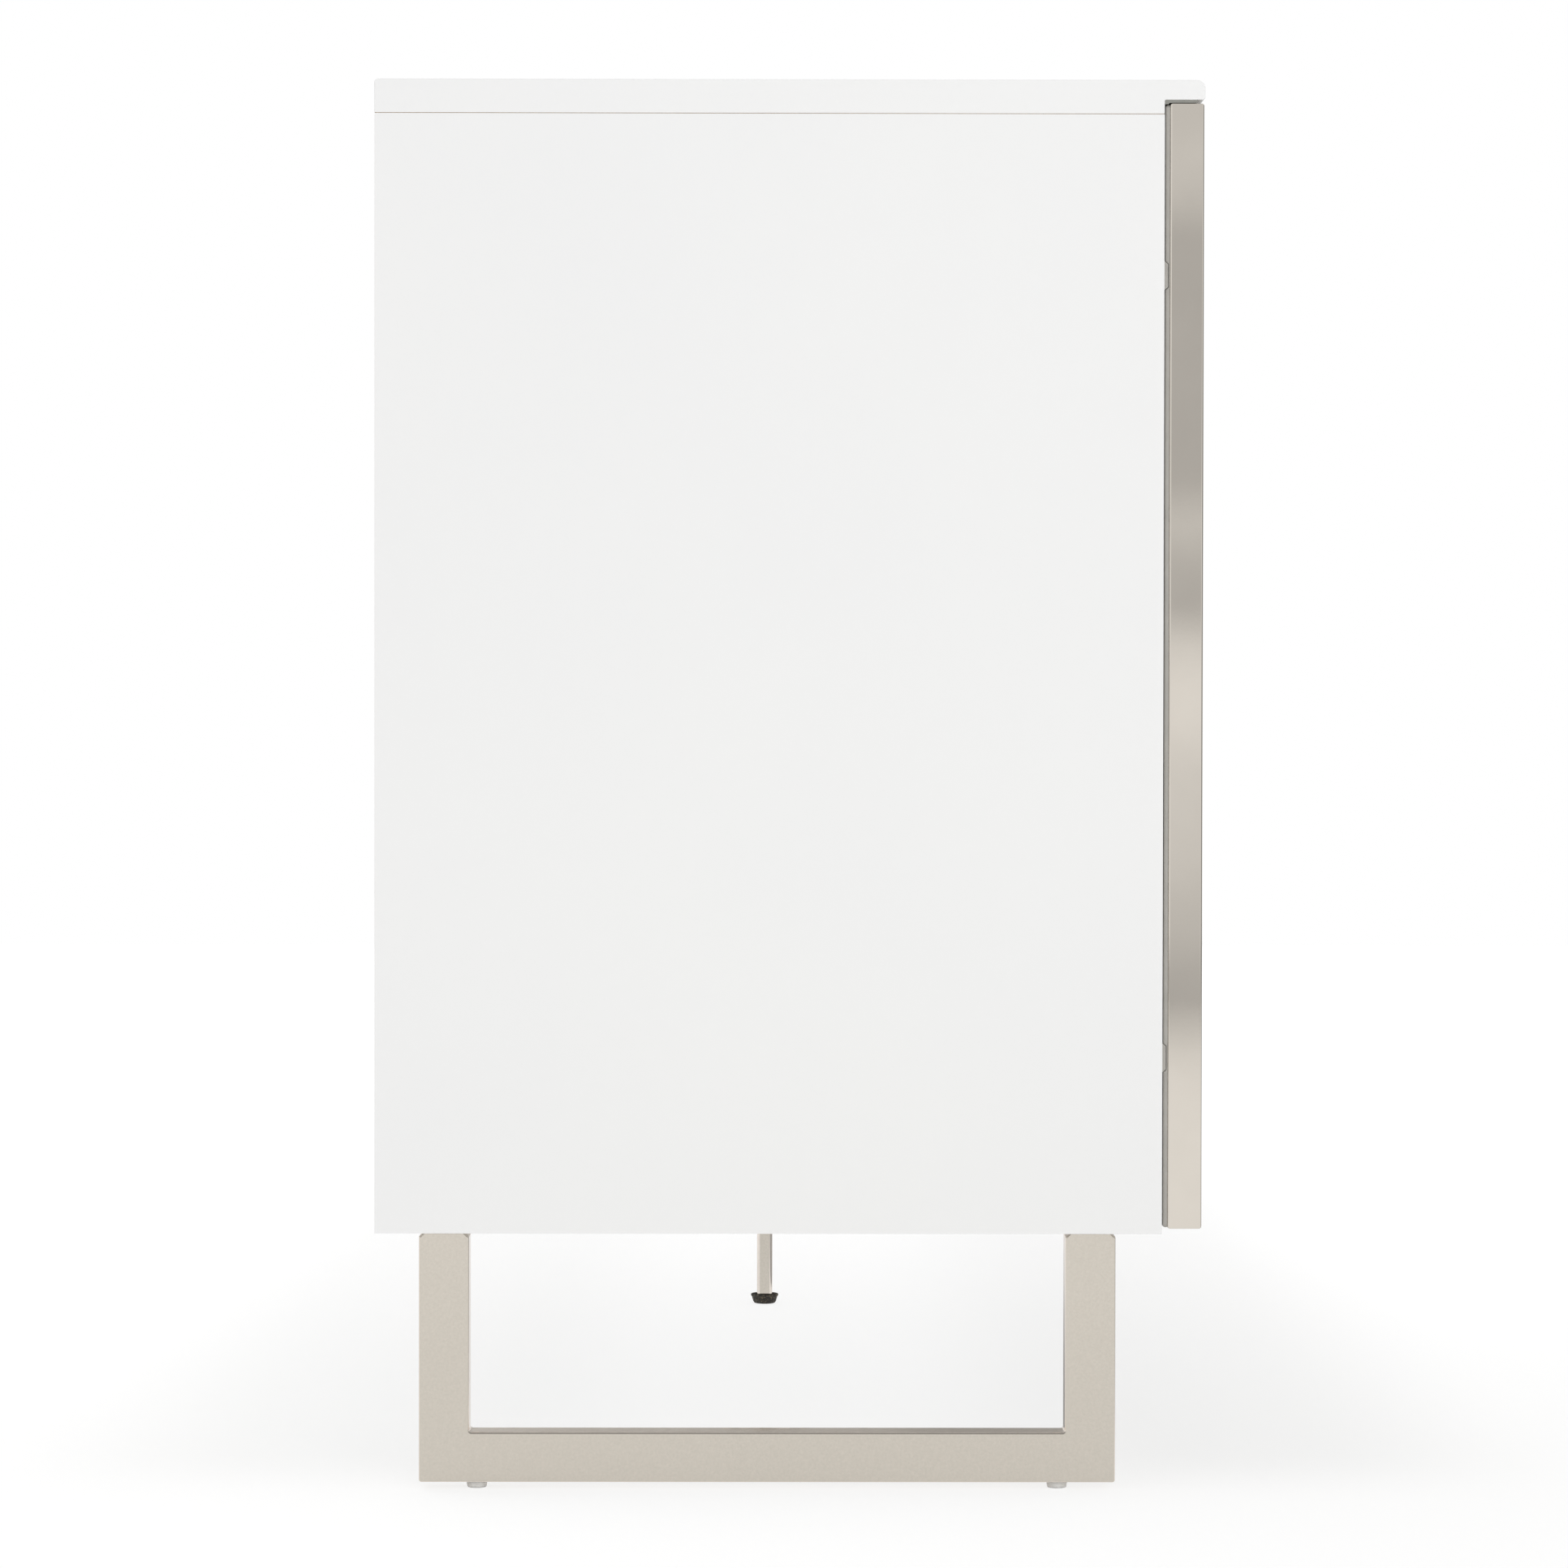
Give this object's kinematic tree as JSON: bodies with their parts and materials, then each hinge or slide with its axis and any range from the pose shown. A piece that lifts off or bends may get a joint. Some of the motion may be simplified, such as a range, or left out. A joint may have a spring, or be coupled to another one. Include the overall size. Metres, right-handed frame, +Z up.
{
  "type": "sideboard tv stand",
  "caption": "Low white cabinet with framed steel doors on concealed hinges, two polished sled feet and a middle leg.",
  "frame": {"origin": "on the floor under the middle of the cabinet's bounding box", "axes": "+X along the length to the right seen from the front, front towards -Y, +Z up"},
  "size_m": [1.8, 0.46, 0.784],
  "materials": {
    "white_lacquer": "satin white lacquer on board",
    "polished_stainless": "polished",
    "zinc_plated_steel": "zinc plated",
    "nickel_plated_steel": "nickel plated",
    "white_plastic": "moulded",
    "grey_plastic": "moulded",
    "glide_plastic": "milky polyethylene",
    "black_rubber": "matt"
  },
  "bodies": {
    "cabinet": {"top_panel": "white_lacquer", "top_lip": "white_lacquer", "left_side_panel": "white_lacquer", "right_side_panel": "white_lacquer", "bottom_panel": "white_lacquer", "centre_partition": "white_lacquer", "left_back_panel": "white_lacquer", "right_back_panel": "white_lacquer", "left_shelf": "white_lacquer", "right_shelf": "white_lacquer", "shelf_pins": "nickel_plated_steel", "cable_grommets": "white_plastic", "cam_discs": "zinc_plated_steel", "cam_bolts": "zinc_plated_steel", "partition_screws": "zinc_plated_steel", "back_panel_screws": "zinc_plated_steel", "left_sled_foot": "polished_stainless", "right_sled_foot": "polished_stainless", "sled_foot_screws": "zinc_plated_steel", "sled_glides": "glide_plastic", "centre_leg": "polished_stainless", "centre_leg_screws": "zinc_plated_steel", "centre_leg_foot": "black_rubber", "hinge_plates": "nickel_plated_steel", "hinge_plate_screws": "zinc_plated_steel", "hinge_arms": "nickel_plated_steel", "hinge_arm_screws": "zinc_plated_steel", "latch_housings": "white_plastic", "latch_screws": "zinc_plated_steel"},
    "door_1_links": {"door_1_hinge_links": "nickel_plated_steel"},
    "door_1": {"door_1_frame": "polished_stainless", "door_1_panel": "white_lacquer", "door_1_screws": "zinc_plated_steel", "door_1_hinge_cups": "nickel_plated_steel", "door_1_strike_plate": "zinc_plated_steel"},
    "door_1_plunger": {"door_1_latch_plunger": "grey_plastic"},
    "door_2_links": {"door_2_hinge_links": "nickel_plated_steel"},
    "door_2": {"door_2_frame": "polished_stainless", "door_2_panel": "white_lacquer", "door_2_screws": "zinc_plated_steel", "door_2_hinge_cups": "nickel_plated_steel", "door_2_strike_plate": "zinc_plated_steel"},
    "door_2_plunger": {"door_2_latch_plunger": "grey_plastic"},
    "door_3_links": {"door_3_hinge_links": "nickel_plated_steel"},
    "door_3": {"door_3_frame": "polished_stainless", "door_3_panel": "white_lacquer", "door_3_screws": "zinc_plated_steel", "door_3_hinge_cups": "nickel_plated_steel", "door_3_strike_plate": "zinc_plated_steel"},
    "door_3_plunger": {"door_3_latch_plunger": "grey_plastic"},
    "door_4_links": {"door_4_hinge_links": "nickel_plated_steel"},
    "door_4": {"door_4_frame": "polished_stainless", "door_4_panel": "white_lacquer", "door_4_screws": "zinc_plated_steel", "door_4_hinge_cups": "nickel_plated_steel", "door_4_strike_plate": "zinc_plated_steel"},
    "door_4_plunger": {"door_4_latch_plunger": "grey_plastic"}
  },
  "joints": [
    {"name": "door_1_link_turn", "type": "hinge", "parent": "cabinet", "child": "door_1_links", "pos_m": [-0.8575, -0.2025, 0.459], "axis": [0, 0, 1], "range_deg": [0, 38.4]},
    {"name": "door_1_swing", "type": "hinge", "parent": "door_1_links", "child": "door_1", "pos_m": [-0.885, -0.2145, 0.459], "axis": [0, 0, -1], "range_deg": [0, 128]},
    {"name": "door_1_latch_press", "type": "slide", "parent": "cabinet", "child": "door_1_plunger", "axis": [0, 1, 0], "range_m": [0, 0.0025], "stiffness_N_per_m": 600},
    {"name": "door_2_link_turn", "type": "hinge", "parent": "cabinet", "child": "door_2_links", "pos_m": [-0.0445, -0.2025, 0.459], "axis": [0, 0, -1], "range_deg": [0, 38.4]},
    {"name": "door_2_swing", "type": "hinge", "parent": "door_2_links", "child": "door_2", "pos_m": [-0.017, -0.2145, 0.459], "axis": [0, 0, 1], "range_deg": [0, 128]},
    {"name": "door_2_latch_press", "type": "slide", "parent": "cabinet", "child": "door_2_plunger", "axis": [0, 1, 0], "range_m": [0, 0.0025], "stiffness_N_per_m": 600},
    {"name": "door_3_link_turn", "type": "hinge", "parent": "cabinet", "child": "door_3_links", "pos_m": [0.0445, -0.2025, 0.459], "axis": [0, 0, 1], "range_deg": [0, 38.4]},
    {"name": "door_3_swing", "type": "hinge", "parent": "door_3_links", "child": "door_3", "pos_m": [0.017, -0.2145, 0.459], "axis": [0, 0, -1], "range_deg": [0, 128]},
    {"name": "door_3_latch_press", "type": "slide", "parent": "cabinet", "child": "door_3_plunger", "axis": [0, 1, 0], "range_m": [0, 0.0025], "stiffness_N_per_m": 600},
    {"name": "door_4_link_turn", "type": "hinge", "parent": "cabinet", "child": "door_4_links", "pos_m": [0.8575, -0.2025, 0.459], "axis": [0, 0, -1], "range_deg": [0, 38.4]},
    {"name": "door_4_swing", "type": "hinge", "parent": "door_4_links", "child": "door_4", "pos_m": [0.885, -0.2145, 0.459], "axis": [0, 0, 1], "range_deg": [0, 128]},
    {"name": "door_4_latch_press", "type": "slide", "parent": "cabinet", "child": "door_4_plunger", "axis": [0, 1, 0], "range_m": [0, 0.0025], "stiffness_N_per_m": 600}
  ],
  "couplings": [
    {"joint": "door_1_link_turn", "follows": "door_1_swing", "ratio": 0.3},
    {"joint": "door_2_link_turn", "follows": "door_2_swing", "ratio": 0.3},
    {"joint": "door_3_link_turn", "follows": "door_3_swing", "ratio": 0.3},
    {"joint": "door_4_link_turn", "follows": "door_4_swing", "ratio": 0.3}
  ]
}
